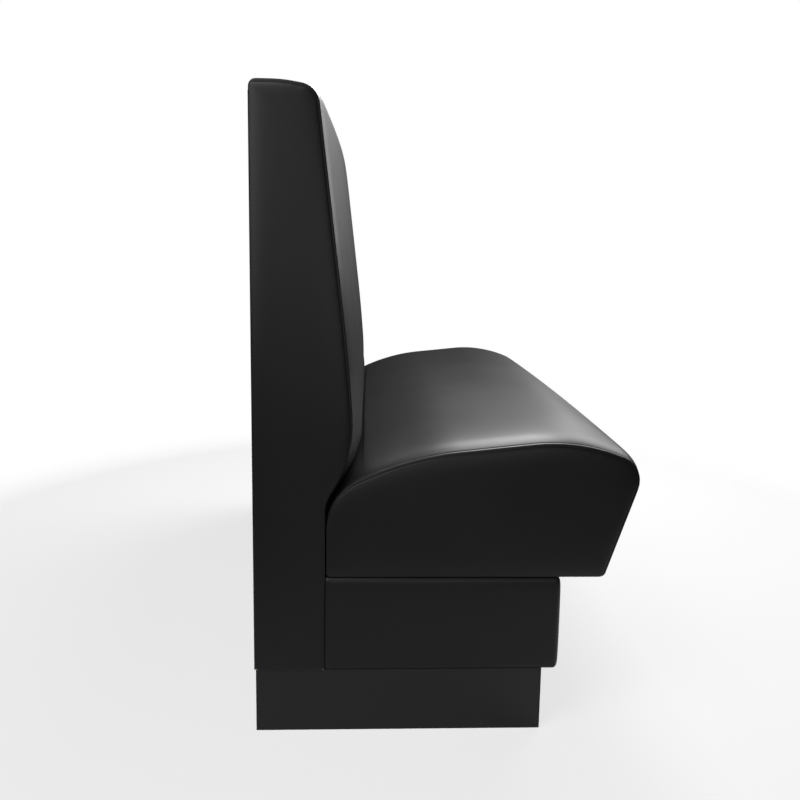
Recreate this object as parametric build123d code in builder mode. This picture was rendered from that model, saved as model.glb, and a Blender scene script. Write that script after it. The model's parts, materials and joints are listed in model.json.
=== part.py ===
from build123d import *
import os
from math import radians, tan

# A single restaurant booth: a padded back and a sprung seat on an upholstered box over a plinth.
# X runs along the booth, the sitter faces -Y, Z is up, and the origin is on the floor under the middle.
# Depths are measured forward from the rear face, so a depth d lies at y = booth_depth / 2 - d.

# Overall sizes
booth_length = 1219
booth_height = 1073
booth_depth = 652.5
plinth_height = 110
seat_bottom = 274
seat_height = 519
box_depth = 515

# Upholstery
vinyl = 2
end_padding = 3
front_padding = 6
end_roll = 4
hem = 40
fit = 0.3

# Boards and sheets
board = 18
face_board = 6
rear_panel = 1
panel_margin = 10
dust_sheet = 1

# The end panel of the back: its corners as shares of its depth and height, counted from the rear at the
# bottom, and the share of the shorter side that each rounded corner takes up
back_reach = 162
back_corner_shares = (
    (0, 0), (0.728, 0), (0.728, 0.31), (1.004, 0.39), (0.9225, 0.57), (0.633, 0.991), (0.346, 1), (0, 1),
)
back_reach_shares = (0.07, 0.06, 0.16, 0.74, 0.46, 0.235, 0.5, 0.14)
back_roll = 11
back_crown = 12
back_roll_shares = (0, 0, 0.19, 0.455, 0.455, 1, 1, 0)
back_crown_shares = (0, 0, 0.2, 1, 1, 0, 0, 0)

# The end panel of the seat, given in the same way, and how far the padding stands out at its nose
seat_gap = 1.5
seat_nose = 14.5
seat_roll = 13
seat_crown = 6.8
seat_corner_shares = ((0, 0), (0.892, 0), (1.011, 0.836), (0.797, 1.026), (0.272, 0.892), (0, 0.611))
seat_reach_shares = (0.055, 0.025, 0.31, 0.639, 0.53, 0.42)
seat_roll_shares = (0, 0.9, 0.92, 1, 1, 0)
seat_crown_shares = (0, 1, 1, 1, 0.9, 0)

# How the padding rolls up beside a seam: the share of the roll reached at a share of the roll's width
roll_width = 80
back_rise_shares = ((0, 0), (0.05, 0.6), (0.12, 0.75), (0.3, 0.92), (1, 1))
seat_rise_shares = ((0, 0), (0.05, 0.27), (0.12, 0.46), (0.3, 0.8), (0.5, 0.93), (1, 1))
crown_station_shares = (0.7, 0.35, 0)

# Frame of the back
top_padding = 16
head_padding = 34
face_lift = 20
rail_height = 60
tack_rail_height = 65
middle_rail_share = 0.5

# Frame of the seat
seat_rail = 20
seat_rail_height = 70
nose_padding = 10
slat_width = 60
hem_inside = 15
wire = 3.8
spring_count = 8
spring_bends = 15
spring_width = 50
insulator = 5
clip_sheet = 1.2
clip_width = 24
clip_length = 14

# Box and plinth
toe_recess = 28
plinth_rear = 3
plinth_inset = 6
deck = 12
box_corner = 10
box_edge = 5
support_share = 1 / 3
foot_block = 45
foot_room = 16

# Fasteners
bolt = 8
bolt_head = 20
bolt_head_height = 4
nut_width = 13
nut_height = 6.5
bolt_inset = 90
bolt_rise = 45
screw = 4.5
screw_head = 9
screw_head_height = 3
screw_length = 40
bracket = 30
bracket_drop = 40
bracket_sheet = 2.5
bracket_width = 25
bracket_screw_length = 14
bracket_share = 0.3

# Levelling feet, turned fully in
foot_lift = 1
foot_pad = 28
foot_pad_height = 7
pad_edge = 1.5
stem = 8
stem_length = 42
stem_tip = 1
collar_width = 13
collar_height = 4
pivot = 6
pivot_depth = 5
tee_flange = 22
tee_flange_height = 1.5
tee_barrel = 11
tee_barrel_length = 9
running_fit = 0.05

# Derived places
seam_x = booth_length / 2 - vinyl - end_padding
gusset_x = seam_x - board
back_top = booth_height - back_roll
back_rise = back_top - plinth_height
back_foot = rear_panel + back_reach * back_corner_shares[1][0]
frame_rear = rear_panel + vinyl
frame_front = back_foot - vinyl - fit
rail_rear = frame_front - board
seat_rear = back_foot + seat_gap
seat_reach = booth_depth - seat_nose - seat_rear
seat_rise = seat_height - seat_roll - seat_crown * seat_crown_shares[3] - seat_bottom
box_top = seat_bottom - vinyl
box_front = box_depth - vinyl - front_padding
plinth_front = box_depth - toe_recess
plinth_x = booth_length / 2 - plinth_inset
ends = (("left", 1), ("right", -1))

os.makedirs("parts", exist_ok=True)


def save(piece, label):
    piece.part.label = label
    export_step(piece.part, f"parts/{label}.step")


def from_rear(depth):
    return booth_depth / 2 - depth


def side_plane(x):
    """A plane across the booth at x: its first axis points forward from the rear face, its second up"""
    return Plane(origin=(x, from_rear(0), 0), x_dir=(0, -1, 0), z_dir=(-1, 0, 0))


def block(left, right, rear, front, low, high, mode=Mode.ADD):
    """A straight-edged board between these limits"""
    with Locations(((left + right) / 2, from_rear((rear + front) / 2), (low + high) / 2)):
        Box(right - left, front - rear, high - low, mode=mode)


def slab(corners, left, right, mode=Mode.ADD):
    """A board from left to right whose side view is a polygon of (depth, height) corners"""
    with BuildSketch(side_plane(right)) as side:
        with BuildLine():
            Polyline(*corners, close=True)
        make_face()
    extrude(side.sketch, amount=right - left, mode=mode)


# Cushion outlines: polygons with a rounded corner each, whose sides can swell outwards

def placed(shares, rear, low, reach, rise):
    return [Vector(rear + reach * along, low + rise * up) for along, up in shares]


def side_directions(corners):
    return [(after - here).normalized() for here, after in zip(corners, corners[1:] + corners[:1])]


def corner_radii(corners, reach_shares):
    """The arc of each corner, which takes its share of the shorter side; hollow corners are negative"""
    directions = side_directions(corners)
    lengths = [(after - here).length for here, after in zip(corners, corners[1:] + corners[:1])]
    radii = []
    for index, share in enumerate(reach_shares):
        turn = directions[index - 1].get_signed_angle(directions[index], Vector(0, 0, 1))
        reach = share * min(lengths[index - 1], lengths[index])
        radii.append(reach / tan(radians(turn / 2)))
    return radii


def swollen(corners, radii, swells):
    """The outline after each side moves outwards by its own swell"""
    directions = side_directions(corners)
    moved = []
    arcs = []
    for index, corner in enumerate(corners):
        before = directions[index - 1]
        after = directions[index]
        spread = before.X * after.Y - before.Y * after.X
        moved.append(corner + (before * swells[index] - after * swells[index - 1]) / spread)
        arcs.append(abs(radii[index] + (swells[index] + swells[index - 1]) / 2))
    return moved, arcs


def outline_face(x, corners, radii, swells):
    points, arcs = swollen(corners, radii, swells)
    with BuildSketch(side_plane(x)) as face:
        with BuildLine():
            FilletPolyline(*points, radius=arcs, close=True)
        make_face()
    return face.sketch


def stations(rise_shares):
    """Places from one end seam to the other, with the shares of roll and crown reached there"""
    half = [(seam_x - along * roll_width, roll) for along, roll in rise_shares]
    half += [(seam_x * share, 1) for share in crown_station_shares]
    near = [(-x, roll) for x, roll in half]
    far = [(x, roll) for x, roll in reversed(half[:-1])]
    return [(x, roll, 1 - (x / seam_x) ** 2) for x, roll in near + far]


class Cushion:
    """The outline of an end panel and how far the cushion beside it swells past that outline"""

    def __init__(self, corners, reach_shares, rise_shares, rolls, crowns):
        self.corners = corners
        self.radii = corner_radii(corners, reach_shares)
        self.rise_shares = rise_shares
        self.rolls = rolls
        self.crowns = crowns

    def panel(self, x, depth):
        """The end panel's outline at x, drawn in by a depth all round"""
        return outline_face(x, self.corners, self.radii, [-depth] * len(self.corners))

    def body(self, depth):
        """Sections of the cushion from end to end, drawn in by a depth all round"""
        sections = []
        for x, roll, crown in stations(self.rise_shares):
            swells = [a * roll + b * crown - depth for a, b in zip(self.rolls, self.crowns)]
            sections.append(outline_face(x, self.corners, self.radii, swells))
        return sections


back = Cushion(
    placed(back_corner_shares, rear_panel, plinth_height, back_reach, back_rise),
    back_reach_shares,
    back_rise_shares,
    [back_roll * share for share in back_roll_shares],
    [back_crown * share for share in back_crown_shares],
)
seat = Cushion(
    placed(seat_corner_shares, seat_rear, seat_bottom, seat_reach, seat_rise),
    seat_reach_shares,
    seat_rise_shares,
    [seat_roll * share for share in seat_roll_shares],
    [seat_crown * share for share in seat_crown_shares],
)

# The sloping line that the back's face board is nailed to, from its foot to the top of the gussets
face_foot = back.corners[2].Y + face_lift
gusset_top = back_top - top_padding
face_head = back.corners[5].X - head_padding - face_board


def face_line(height):
    """Depth of the face board's rear side at a height"""
    share = (height - face_foot) / (gusset_top - face_foot)
    return frame_front + share * (face_head - frame_front)


# Plinth

def plinth():
    side_x = plinth_x - board
    with BuildPart() as plinth_front_board:
        block(-side_x, side_x, plinth_front - board, plinth_front, 0, plinth_height)
    save(plinth_front_board, "plinth_front_board")

    with BuildPart() as plinth_rear_board:
        block(-side_x, side_x, plinth_rear, plinth_rear + board, 0, plinth_height)
    save(plinth_rear_board, "plinth_rear_board")

    for name, side in ends:
        with BuildPart() as plinth_end_board:
            block(side_x, plinth_x, plinth_rear, plinth_front, 0, plinth_height)
            if side < 0:
                mirror(about=Plane.YZ, mode=Mode.REPLACE)
            deck_screw_holes(plinth_height)
        save(plinth_end_board, f"plinth_end_board_{name}")

    with BuildPart() as plinth_cross_rails:
        for side in (-1, 1):
            middle = side * support_share * seam_x
            block(middle - board / 2, middle + board / 2, plinth_rear + board, plinth_front - board,
                  0, plinth_height)
        deck_screw_holes(plinth_height)
    save(plinth_cross_rails, "plinth_cross_rails")


def foot_places():
    along = plinth_x - board - foot_block / 2
    rear = plinth_rear + board + foot_block / 2
    front = plinth_front - board - foot_block / 2
    return {
        "front_left": (along, from_rear(front)),
        "front_right": (-along, from_rear(front)),
        "rear_left": (along, from_rear(rear)),
        "rear_right": (-along, from_rear(rear)),
    }


def plinth_corner_blocks():
    with BuildPart() as corner_blocks:
        with BuildSketch(Plane.XY.offset(foot_room)):
            with Locations(*foot_places().values()):
                Rectangle(foot_block, foot_block)
        extrude(amount=foot_block)
        with BuildSketch(Plane.XY.offset(foot_room)):
            with Locations(*foot_places().values()):
                Circle(tee_barrel / 2 + running_fit)
        extrude(amount=foot_block, mode=Mode.SUBTRACT)
    save(corner_blocks, "plinth_corner_blocks")


def levelling_tee_nuts():
    with BuildPart() as tee_nuts:
        with BuildSketch(Plane.XY.offset(foot_room - tee_flange_height)):
            with Locations(*foot_places().values()):
                Circle(tee_flange / 2)
        extrude(amount=tee_flange_height)
        with BuildSketch(Plane.XY.offset(foot_room)):
            with Locations(*foot_places().values()):
                Circle(tee_barrel / 2)
        extrude(amount=tee_barrel_length)
        with BuildSketch(Plane.XY.offset(foot_room - tee_flange_height)):
            with Locations(*foot_places().values()):
                Circle(stem / 2 + running_fit)
        extrude(amount=tee_flange_height + tee_barrel_length, mode=Mode.SUBTRACT)
    save(tee_nuts, "levelling_tee_nuts")


def levelling_feet():
    pad_top = foot_lift + foot_pad_height
    collar_top = pad_top + fit + collar_height
    for name, place in foot_places().items():
        with BuildPart() as pad:
            with BuildSketch(Plane.XY.offset(foot_lift)):
                with Locations(place):
                    Circle(foot_pad / 2)
            extrude(amount=foot_pad_height)
            fillet(pad.edges().group_by(Axis.Z)[-1], radius=pad_edge)
            with Locations((*place, pad_top)):
                Hole(pivot / 2 + running_fit, depth=pivot_depth)
        save(pad, f"foot_pad_{name}")

        with BuildPart() as foot_stem:
            with BuildSketch(Plane.XY.offset(pad_top - pivot_depth + fit)):
                with Locations(place):
                    Circle(pivot / 2)
            extrude(amount=pivot_depth)
            with BuildSketch(Plane.XY.offset(pad_top + fit)):
                with Locations(place):
                    RegularPolygon(collar_width / 2, 6, major_radius=False)
            extrude(amount=collar_height)
            with BuildSketch(Plane.XY.offset(collar_top)):
                with Locations(place):
                    Circle(stem / 2)
            extrude(amount=stem_length)
            chamfer(foot_stem.edges().group_by(Axis.Z)[-1], length=stem_tip)
        save(foot_stem, f"foot_stem_{name}")


# Box under the seat

def deck_screw_places():
    rear = frame_front + board + screw_length
    front = plinth_front - board - screw_length
    columns = [side * support_share * seam_x for side in (-1, 1)]
    columns += [side * (gusset_x - screw_head) for side in (-1, 1)]
    return [(x, from_rear(depth)) for x in columns for depth in (rear, (rear + front) / 2, front)]


def deck_screw_holes(top):
    """Pilot holes for the screws that hold the deck down"""
    with Locations(*[(*place, top) for place in deck_screw_places()]):
        Hole(screw / 2 + running_fit, depth=screw_length)


def box_deck():
    deck_top = plinth_height + deck
    with BuildPart() as deck_board:
        block(-gusset_x, gusset_x, frame_front + board, box_front - board, plinth_height, deck_top)
        with Locations(*[(*place, deck_top) for place in deck_screw_places()]):
            CounterBoreHole(screw / 2 + running_fit, screw_head / 2 + fit, screw_head_height, deck)
    save(deck_board, "box_deck")

    with BuildPart() as plinth_screws:
        with BuildSketch(Plane.XY.offset(deck_top - screw_head_height)):
            with Locations(*deck_screw_places()):
                Circle(screw_head / 2)
        extrude(amount=screw_head_height)
        with BuildSketch(Plane.XY.offset(deck_top - screw_head_height)):
            with Locations(*deck_screw_places()):
                Circle(screw / 2)
        extrude(amount=-(screw_length - screw_head_height))
    save(plinth_screws, "plinth_screws")


def bolt_places():
    """Where the back is bolted to the box, as (x, height)"""
    rise = plinth_height + bolt_rise
    outer = gusset_x - bolt_inset
    return [(side * share * outer, rise) for side in (-1, 1) for share in (support_share, 1)]


def bolt_holes(rear):
    with Locations(*[Pos(x, from_rear(rear), z) * Rot(X=-90) for x, z in bolt_places()]):
        Cylinder(bolt / 2 + fit, board, align=(Align.CENTER, Align.CENTER, Align.MAX), mode=Mode.SUBTRACT)


def box_boards():
    with BuildPart() as box_front_board:
        block(-seam_x, seam_x, box_front - board, box_front, plinth_height + vinyl, box_top)
    save(box_front_board, "box_front_board")

    with BuildPart() as box_rear_board:
        block(-gusset_x, gusset_x, frame_front, frame_front + board, plinth_height, box_top)
        bolt_holes(frame_front)
    save(box_rear_board, "box_rear_board")

    for name, side in ends:
        with BuildPart() as box_end_board:
            block(gusset_x, seam_x, back_foot, box_front - board, plinth_height + vinyl, box_top)
            if side < 0:
                mirror(about=Plane.YZ, mode=Mode.REPLACE)
        save(box_end_board, f"box_end_board_{name}")

    with BuildPart() as box_supports:
        for side in (-1, 1):
            middle = side * support_share * seam_x
            block(middle - board / 2, middle + board / 2, frame_front + board, box_front - board,
                  plinth_height + deck, box_top)
        with Locations(*[Pos(side * support_screw_x(), from_rear(depth), bracket_screw_z()) * Rot(Y=side * 90)
                         for side in (-1, 1) for depth in bracket_depths()]):
            Cylinder(screw / 2 + running_fit, bracket_screw_length,
                     align=(Align.CENTER, Align.CENTER, Align.MAX), mode=Mode.SUBTRACT)
    save(box_supports, "box_middle_supports")


def box_skin(depth):
    """The box's covered outside, drawn in by a depth: a block with a round front corner and soft edges"""
    with BuildPart(mode=Mode.PRIVATE) as skin:
        block(-booth_length / 2 + depth, booth_length / 2 - depth, back_foot, box_depth - depth,
              plinth_height + depth, seat_bottom - depth)
        uprights = skin.edges().filter_by(Axis.Z)
        fillet(uprights.group_by(Axis.Y)[0], radius=box_corner - depth)
        rims = skin.edges().group_by(Axis.Z)[0] + skin.edges().group_by(Axis.Z)[-1]
        ahead = rims.filter_by(lambda rim: rim.center().Y < from_rear(back_foot) - fit)
        fillet(ahead, radius=box_edge - depth)
    return skin.part


def box_upholstery():
    inner = box_skin(vinyl)
    with BuildPart() as box_cover:
        add(box_skin(0))
        add(inner, mode=Mode.SUBTRACT)
        block(-gusset_x, gusset_x, back_foot, box_front - board, plinth_height, seat_bottom,
              mode=Mode.SUBTRACT)
    save(box_cover, "box_cover")

    with BuildPart() as box_padding:
        add(inner)
        block(-seam_x, seam_x, back_foot, box_front, plinth_height, seat_bottom, mode=Mode.SUBTRACT)
    save(box_padding, "box_padding")


# Back

def back_gussets():
    side = [
        (frame_rear, plinth_height),
        (frame_front, plinth_height),
        (frame_front, face_foot),
        (face_head, gusset_top),
        (frame_rear, gusset_top),
    ]
    for name, sign in ends:
        with BuildPart() as gusset:
            slab(side, gusset_x, seam_x)
            if sign < 0:
                mirror(about=Plane.YZ, mode=Mode.REPLACE)
        save(gusset, f"back_gusset_{name}")

    inner_side = [(depth - board if depth > frame_rear else depth, height) for depth, height in side]
    with BuildPart() as inner_gussets:
        for sign in (-1, 1):
            middle = sign * support_share * seam_x
            slab(inner_side, middle - board / 2, middle + board / 2)
    save(inner_gussets, "back_inner_gussets")


def sloped_rail(low, high):
    """Side view of a rail that follows the face board's slope"""
    return [
        (face_line(low) - board, low),
        (face_line(low), low),
        (face_line(high), high),
        (face_line(high) - board, high),
    ]


def back_rails():
    with BuildPart() as back_bottom_rail:
        block(-gusset_x, gusset_x, rail_rear, frame_front, plinth_height, plinth_height + 2 * bolt_rise)
        bolt_holes(rail_rear)
    save(back_bottom_rail, "back_bottom_rail")

    with BuildPart() as back_tack_rail:
        block(-gusset_x, gusset_x, rail_rear, frame_front, face_foot - tack_rail_height, face_foot)
    save(back_tack_rail, "back_tack_rail")

    with BuildPart() as back_lumbar_rail:
        slab(sloped_rail(face_foot, face_foot + rail_height), -gusset_x, gusset_x)
    save(back_lumbar_rail, "back_lumbar_rail")

    middle = face_foot + middle_rail_share * (gusset_top - face_foot)
    with BuildPart() as back_middle_rail:
        slab(sloped_rail(middle, middle + rail_height), -gusset_x, gusset_x)
    save(back_middle_rail, "back_middle_rail")

    with BuildPart() as back_top_rail:
        slab(sloped_rail(gusset_top - rail_height, gusset_top), -gusset_x, gusset_x)
    save(back_top_rail, "back_top_rail")


def back_bolts():
    with BuildPart() as back_to_box_bolts:
        for x, z in bolt_places():
            axis = Plane(origin=(x, from_rear(rail_rear), z), z_dir=(0, -1, 0))
            with BuildSketch(axis):
                Circle(bolt_head / 2)
            extrude(amount=-bolt_head_height)
            with BuildSketch(axis):
                Circle(bolt / 2)
            extrude(amount=2 * board + nut_height)
            with BuildSketch(axis.offset(2 * board)):
                RegularPolygon(nut_width / 2, 6, major_radius=False)
            extrude(amount=nut_height)
    save(back_to_box_bolts, "back_to_box_bolts")


def back_panels():
    face = [
        (frame_front, face_foot),
        (frame_front + face_board, face_foot),
        (face_head + face_board, gusset_top),
        (face_head, gusset_top),
    ]
    with BuildPart() as back_face_board:
        slab(face, -seam_x, seam_x)
    save(back_face_board, "back_face_board")

    with BuildPart() as back_rear_panel:
        block(-seam_x + panel_margin, seam_x - panel_margin, 0, rear_panel,
              plinth_height + panel_margin, back_top - panel_margin)
        fillet(back_rear_panel.edges().filter_by(Axis.Y), radius=panel_margin)
    save(back_rear_panel, "back_rear_panel")


def back_padding():
    beyond = back_reach + back_roll + back_crown
    room = [
        (frame_front + face_board, face_foot),
        (rear_panel + beyond, face_foot),
        (rear_panel + beyond, booth_height),
        (frame_rear, booth_height),
        (frame_rear, gusset_top),
        (face_head + face_board, gusset_top),
    ]
    with BuildPart() as back_foam:
        loft(back.body(vinyl + fit), ruled=True)
        slab(room, -seam_x, seam_x, mode=Mode.INTERSECT)
    save(back_foam, "back_foam")

    with BuildPart() as back_cover:
        loft(back.body(0), ruled=True)
        loft(back.body(vinyl), ruled=True, mode=Mode.SUBTRACT)
        block(-booth_length, booth_length, 0, back_foot - vinyl, 0, gusset_top - hem, mode=Mode.SUBTRACT)
        block(-booth_length, booth_length, 0, booth_depth, 0, face_foot - tack_rail_height / 2,
              mode=Mode.SUBTRACT)
    save(back_cover, "back_cover")


# Seat

def seat_line(height):
    """Depth of the frame's front at a height, a nose padding behind the sloping front of the cover"""
    low = seat.corners[1]
    high = seat.corners[2]
    slope = (high.X - low.X) / (high.Y - low.Y)
    return low.X + slope * (height - low.Y) - vinyl - fit - nose_padding


seat_floor = seat_bottom + vinyl
rail_top = seat_floor + seat_rail_height
seat_frame_rear = seat_rear + vinyl + fit
seat_frame_front = seat_line(seat_floor)
seat_side_x = seam_x - seat_rail
spring_top = rail_top + wire + clip_sheet
foam_floor = spring_top + insulator


def seat_frame():
    with BuildPart() as seat_front_rail:
        block(-seam_x, seam_x, seat_frame_front - seat_rail, seat_frame_front, seat_floor, rail_top)
    save(seat_front_rail, "seat_front_rail")

    with BuildPart() as seat_rear_rail:
        block(-seam_x, seam_x, seat_frame_rear, seat_frame_rear + seat_rail, seat_floor, rail_top)
        lengthwise = seat_rear_rail.edges().filter_by(Axis.X).group_by(Axis.Z)[0]
        fillet(lengthwise.sort_by(Axis.Y)[-1], radius=seat.radii[0])
    save(seat_rear_rail, "seat_rear_rail")

    for name, side in ends:
        with BuildPart() as seat_end_rail:
            block(seat_side_x, seam_x, seat_frame_rear + seat_rail, seat_frame_front - seat_rail,
                  seat_floor, rail_top)
            if side < 0:
                mirror(about=Plane.YZ, mode=Mode.REPLACE)
        save(seat_end_rail, f"seat_end_rail_{name}")

    with BuildPart() as seat_slats:
        for side in (-1, 1):
            middle = side * support_share * seam_x
            block(middle - slat_width / 2, middle + slat_width / 2, seat_frame_rear + seat_rail,
                  seat_frame_front - seat_rail, seat_floor, seat_floor + seat_rail)
        with Locations(*[(side * flange_screw_x(), from_rear(depth), seat_floor)
                         for side in (-1, 1) for depth in bracket_depths()]):
            Cylinder(screw / 2 + running_fit, bracket_screw_length,
                     align=(Align.CENTER, Align.CENTER, Align.MIN), mode=Mode.SUBTRACT)
    save(seat_slats, "seat_slats")


def spring_columns():
    pitch = 2 * seat_side_x / spring_count
    return [(index + 1 / 2) * pitch - seat_side_x for index in range(spring_count)]


def zigzag_springs():
    """Flat wire springs from the rear rail to the front rail, in even half-round bends"""
    start = seat_frame_rear + seat_rail / 2
    finish = seat_frame_front - seat_rail / 2
    bend = (finish - start) / spring_bends / 2
    leg = spring_width / 2 - bend - wire / 2
    with BuildPart() as springs:
        for column in spring_columns():
            with BuildLine(Plane.XY.offset(rail_top + wire / 2)) as path:
                here = (column - leg, from_rear(start))
                Line(here, (column + leg, here[1]))
                side = 1
                for turn in range(spring_bends):
                    depth = start + 2 * bend * turn
                    first = (column + side * leg, from_rear(depth))
                    last = (column + side * leg, from_rear(depth + 2 * bend))
                    middle = (column + side * (leg + bend), from_rear(depth + bend))
                    ThreePointArc(first, middle, last)
                    Line(last, (column - side * leg, last[1]))
                    side = -side
            with BuildSketch(Plane(origin=path.wire() @ 0, z_dir=path.wire() % 0)):
                Circle(wire / 2)
            sweep(path=path.wire())
    save(springs, "zigzag_springs")
    print(f"spring runs lie {2 * bend - wire:.1f} mm apart, bend radius {bend:.1f} mm")


def spring_clips():
    """Folded sheet clips that hold both end runs of each spring on the rails"""
    with BuildPart() as clips:
        for column in spring_columns():
            for depth in (seat_frame_rear + seat_rail / 2, seat_frame_front - seat_rail / 2):
                block(column - clip_width / 2, column + clip_width / 2, depth - clip_length / 2,
                      depth + clip_length / 2, rail_top, spring_top)
                block(column - clip_width / 2, column + clip_width / 2, depth - clip_length / 2 + clip_sheet,
                      depth + clip_length / 2 - clip_sheet, rail_top, rail_top + wire, mode=Mode.SUBTRACT)
    save(clips, "spring_clips")


def seat_padding():
    with BuildPart() as spring_insulator:
        block(-seam_x, seam_x, seat_frame_rear, seat_frame_front, spring_top, foam_floor)
    save(spring_insulator, "spring_insulator")

    beyond = booth_depth + seat_roll
    room = [
        (seat_rear, foam_floor),
        (seat_frame_front, foam_floor),
        (seat_frame_front, seat_floor),
        (beyond, seat_floor),
        (beyond, booth_height),
        (seat_rear, booth_height),
    ]
    with BuildPart() as seat_foam:
        loft(seat.body(vinyl + fit), ruled=True)
        slab(room, -seam_x, seam_x, mode=Mode.INTERSECT)
    save(seat_foam, "seat_foam")

    with BuildPart() as seat_cover:
        loft(seat.body(0), ruled=True)
        loft(seat.body(vinyl), ruled=True, mode=Mode.SUBTRACT)
        block(-seam_x + hem_inside, seam_x - hem_inside, seat_rear + hem_inside,
              seat_frame_front - hem_inside, seat_bottom, seat_floor, mode=Mode.SUBTRACT)
    save(seat_cover, "seat_cover")

    with BuildPart() as dust_cover:
        block(-seam_x + hem_inside + fit, seam_x - hem_inside - fit, seat_rear + hem_inside + fit,
              seat_frame_front - hem_inside - fit, seat_floor - dust_sheet, seat_floor)
        with Locations(*[(side * flange_screw_x(), from_rear(depth), seat_floor)
                         for side in (-1, 1) for depth in bracket_depths()]):
            Hole(screw / 2 + running_fit, depth=dust_sheet)
    save(dust_cover, "seat_dust_cover")


# Brackets between the box and the seat

def bracket_depths():
    rear = frame_front + board
    front = box_front - board
    return [rear + share * (front - rear) for share in (bracket_share, 1 - bracket_share)]


def support_screw_x():
    """Face of a middle support, from the middle of the booth"""
    return support_share * seam_x + board / 2


def flange_screw_x():
    return support_share * seam_x + (slat_width / 2 + board / 2 + bracket_sheet) / 2


def bracket_screw_z():
    return seat_floor - dust_sheet - bracket_drop * 2 / 3


def seat_brackets():
    face = support_screw_x()
    flange_top = seat_floor - dust_sheet
    with BuildPart() as brackets:
        for depth in bracket_depths():
            near = depth - bracket_width / 2
            far = depth + bracket_width / 2
            block(face, face + bracket_sheet, near, far, flange_top - bracket_drop, flange_top)
            block(face, face + bracket, near, far, flange_top - bracket_sheet, flange_top)
        across = Rot(Y=90)
        with Locations(*[Pos(face, from_rear(depth), bracket_screw_z()) * across for depth in bracket_depths()]):
            Cylinder(screw / 2 + running_fit, bracket_sheet,
                     align=(Align.CENTER, Align.CENTER, Align.MIN), mode=Mode.SUBTRACT)
        with Locations(*[(flange_screw_x(), from_rear(depth), flange_top) for depth in bracket_depths()]):
            Hole(screw / 2 + running_fit, depth=bracket_sheet)
        mirror(about=Plane.YZ)
    save(brackets, "seat_fixing_brackets")


def bracket_screws():
    face = support_screw_x() + bracket_sheet
    flange_under = seat_floor - dust_sheet - bracket_sheet
    with BuildPart() as screws:
        for depth in bracket_depths():
            into_support = Plane(origin=(face, from_rear(depth), bracket_screw_z()), z_dir=(1, 0, 0))
            into_seat = Plane(origin=(flange_screw_x(), from_rear(depth), flange_under), z_dir=(0, 0, -1))
            for plane in (into_support, into_seat):
                with BuildSketch(plane):
                    Circle(screw_head / 2)
                extrude(amount=screw_head_height)
                with BuildSketch(plane):
                    Circle(screw / 2)
                extrude(amount=-bracket_screw_length)
        mirror(about=Plane.YZ)
    save(screws, "seat_fixing_screws")


# End panels of the back and the seat

def end_panels():
    for cushion_name, cushion in (("back", back), ("seat", seat)):
        for name, side in ends:
            with BuildPart() as pad:
                extrude(cushion.panel(seam_x, vinyl), amount=-end_padding)
                fillet(pad.faces().sort_by(Axis.X)[-1].edges(), radius=end_roll - vinyl)
                if side < 0:
                    mirror(about=Plane.YZ, mode=Mode.REPLACE)
            save(pad, f"{cushion_name}_end_pad_{name}")

            with BuildPart() as cover:
                extrude(cushion.panel(seam_x, 0), amount=-(end_padding + vinyl))
                fillet(cover.faces().sort_by(Axis.X)[-1].edges(), radius=end_roll)
                if side < 0:
                    mirror(about=Plane.YZ, mode=Mode.REPLACE)
                add(pad.part, mode=Mode.SUBTRACT)
            save(cover, f"{cushion_name}_end_cover_{name}")


plinth()
plinth_corner_blocks()
levelling_tee_nuts()
levelling_feet()
box_deck()
box_boards()
box_upholstery()
back_gussets()
back_rails()
back_bolts()
back_panels()
back_padding()
seat_frame()
zigzag_springs()
spring_clips()
seat_padding()
seat_brackets()
bracket_screws()
end_panels()
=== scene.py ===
# %% [markdown]
# # A restaurant booth in black vinyl
#
# The booth has a padded back, a sprung seat with a rolled front, an upholstered box and a recessed
# plinth. Its frame, springs, feet and fastenings come from the CAD model. This lesson makes what the
# upholsterer adds: vinyl stretched over foam, padded end panels, sewn seams and their topstitching.

# %% Load the frame
import json
import math

import bmesh
import bpy
import numpy as np
from mathutils import Matrix, Vector
from mathutils.geometry import delaunay_2d_cdt


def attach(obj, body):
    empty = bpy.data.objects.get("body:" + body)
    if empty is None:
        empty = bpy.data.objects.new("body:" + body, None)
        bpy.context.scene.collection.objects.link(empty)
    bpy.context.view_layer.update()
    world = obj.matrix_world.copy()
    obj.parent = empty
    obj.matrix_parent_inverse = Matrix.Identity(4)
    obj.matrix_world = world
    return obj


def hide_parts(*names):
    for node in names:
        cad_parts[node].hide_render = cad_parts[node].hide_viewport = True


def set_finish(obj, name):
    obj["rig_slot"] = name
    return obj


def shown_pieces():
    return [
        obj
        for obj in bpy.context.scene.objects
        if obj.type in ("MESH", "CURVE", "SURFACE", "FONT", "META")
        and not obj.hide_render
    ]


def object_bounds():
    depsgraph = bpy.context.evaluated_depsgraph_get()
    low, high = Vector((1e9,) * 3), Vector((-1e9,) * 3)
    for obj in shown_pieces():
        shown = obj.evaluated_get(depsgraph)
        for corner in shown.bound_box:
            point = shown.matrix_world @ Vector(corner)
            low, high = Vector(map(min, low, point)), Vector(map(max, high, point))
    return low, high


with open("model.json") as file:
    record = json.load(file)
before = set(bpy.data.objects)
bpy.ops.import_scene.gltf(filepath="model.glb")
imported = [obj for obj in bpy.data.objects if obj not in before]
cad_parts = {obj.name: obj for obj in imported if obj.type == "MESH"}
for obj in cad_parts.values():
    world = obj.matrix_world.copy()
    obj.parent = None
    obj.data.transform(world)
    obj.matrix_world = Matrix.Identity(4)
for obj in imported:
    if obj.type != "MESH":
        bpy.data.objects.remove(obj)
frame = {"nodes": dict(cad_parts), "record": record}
scene = bpy.context.scene
cad_low, cad_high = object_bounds()
mm = 0.001
print("CAD box in mm", [round(v / mm, 1) for v in (*cad_low, *cad_high)])

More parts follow.
